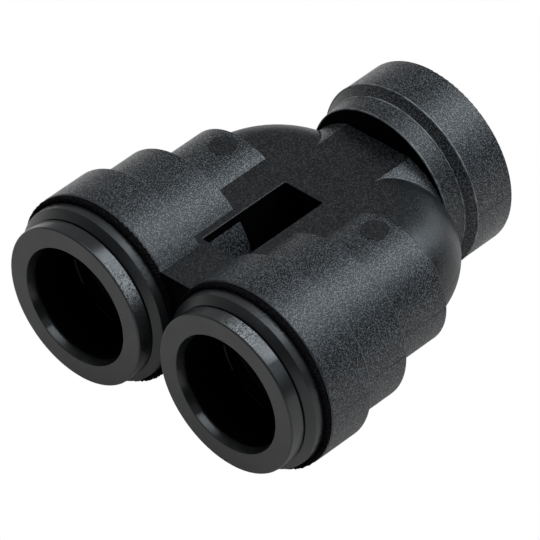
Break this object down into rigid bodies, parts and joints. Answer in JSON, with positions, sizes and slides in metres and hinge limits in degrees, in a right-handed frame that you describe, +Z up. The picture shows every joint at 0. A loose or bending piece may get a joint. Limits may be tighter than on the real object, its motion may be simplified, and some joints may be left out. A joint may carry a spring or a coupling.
{
  "type": "tubing y connector",
  "caption": "Push-fit divider for plastic tubing: a flat hub joins parallel ports at the front to a port at the rear, each with a sliding release collet and an O-ring.",
  "frame": {"origin": "under the middle of the fitting, on the surface that its three barrels lie on", "axes": "+Y from the pair of front ports towards the single rear port, +X to the right seen from the front ports, +Z up, square to the flats of the hub"},
  "size_m": [0.0494, 0.0506, 0.0248],
  "materials": {
    "moulded_body": "black acetal-like plastic, fine spark-eroded texture on the barrels",
    "collet": "black plastic, satin face",
    "cartridge": "black plastic, satin",
    "steel": "stainless steel",
    "spacer": "plain black plastic",
    "seal": "black nitrile rubber"
  },
  "bodies": {
    "housing": {"body": "moulded_body", "left_cartridge": "cartridge", "left_spacer": "spacer", "left_o_ring": "seal", "right_cartridge": "cartridge", "right_spacer": "spacer", "right_o_ring": "seal", "rear_cartridge": "cartridge", "rear_spacer": "spacer", "rear_o_ring": "seal"},
    "left_grip": {"left_collet": "collet", "left_teeth": "steel"},
    "right_grip": {"right_collet": "collet", "right_teeth": "steel"},
    "rear_grip": {"rear_collet": "collet", "rear_teeth": "steel"}
  },
  "joints": [
    {"name": "left_collet_slide", "type": "slide", "parent": "housing", "child": "left_grip", "axis": [0, -1, 0], "range_m": [0, 0.0017]},
    {"name": "right_collet_slide", "type": "slide", "parent": "housing", "child": "right_grip", "axis": [0, -1, 0], "range_m": [0, 0.0017]},
    {"name": "rear_collet_slide", "type": "slide", "parent": "housing", "child": "rear_grip", "axis": [0, 1, 0], "range_m": [0, 0.001]}
  ]
}
